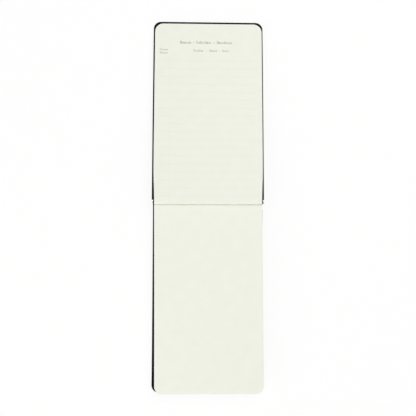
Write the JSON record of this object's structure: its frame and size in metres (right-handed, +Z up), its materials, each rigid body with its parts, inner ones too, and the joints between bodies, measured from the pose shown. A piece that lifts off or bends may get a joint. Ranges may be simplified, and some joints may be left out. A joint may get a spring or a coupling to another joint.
{
  "type": "reporter notepad",
  "caption": "Hard-cover reporter notepad, bound on its short top edge and lying open: sewn cream paper block on the back cover, front cover turned over the fold with a ruled contents leaf on it.",
  "frame": {"origin": "middle of the open pad's footprint, on the table", "axes": "+Z up, +Y away from the reader towards the fore edge of the opened front cover, +X to the reader's right along the fold"},
  "size_m": [0.09, 0.304, 0.0148],
  "materials": {
    "leatherette": "fine-grained black leatherette, satin",
    "greyboard": "plain grey bookbinding board",
    "endpaper": "cream uncoated endpaper",
    "writing_paper": "cream uncoated writing paper",
    "thread": "linen sewing thread",
    "gauze": "open cotton gauze",
    "lining": "kraft lining paper"
  },
  "bodies": {
    "text_block": {"section_1": "writing_paper", "section_2": "writing_paper", "section_3": "writing_paper", "section_4": "writing_paper", "section_5": "writing_paper", "section_6": "writing_paper", "back_flyleaf": "endpaper", "sewing_thread_1": "thread", "sewing_thread_2": "thread", "sewing_thread_3": "thread", "sewing_thread_4": "thread", "spine_mull": "gauze", "spine_lining": "lining", "spine_board": "greyboard", "spine_wrap": "leatherette", "front_joint_cloth": "leatherette", "rear_joint_cloth": "leatherette"},
    "front_cover": {"front_cover_wrap": "leatherette", "front_board": "greyboard", "front_pastedown": "endpaper"},
    "turned_leaves": {"front_flyleaf": "endpaper", "contents_leaf": "writing_paper"},
    "first_leaf": {"first_leaf": "writing_paper"},
    "back_cover": {"back_cover_wrap": "leatherette", "back_board": "greyboard", "back_pastedown": "endpaper"}
  },
  "joints": [
    {"name": "front_cover_hinge", "type": "hinge", "parent": "text_block", "child": "front_cover", "pos_m": [0, 0.00019, 0.0135], "axis": [1, 0, 0], "range_deg": [0, 184.39], "deforming": ["front_joint_cloth"]},
    {"name": "contents_leaf_turn", "type": "hinge", "parent": "text_block", "child": "turned_leaves", "pos_m": [0, 0.00019, 0.0135], "axis": [1, 0, 0], "range_deg": [0, 184.39]},
    {"name": "first_leaf_turn", "type": "hinge", "parent": "text_block", "child": "first_leaf", "pos_m": [0, 0.00019, 0.0135], "axis": [-1, 0, 0], "range_deg": [0, 184.39]},
    {"name": "back_cover_hinge", "type": "hinge", "parent": "text_block", "child": "back_cover", "pos_m": [0, 0.00019, 0.00185], "axis": [1, 0, 0], "range_deg": [0, 175], "deforming": ["rear_joint_cloth"]}
  ],
  "couplings": [
    {"joint": "contents_leaf_turn", "follows": "front_cover_hinge", "ratio": 1}
  ]
}
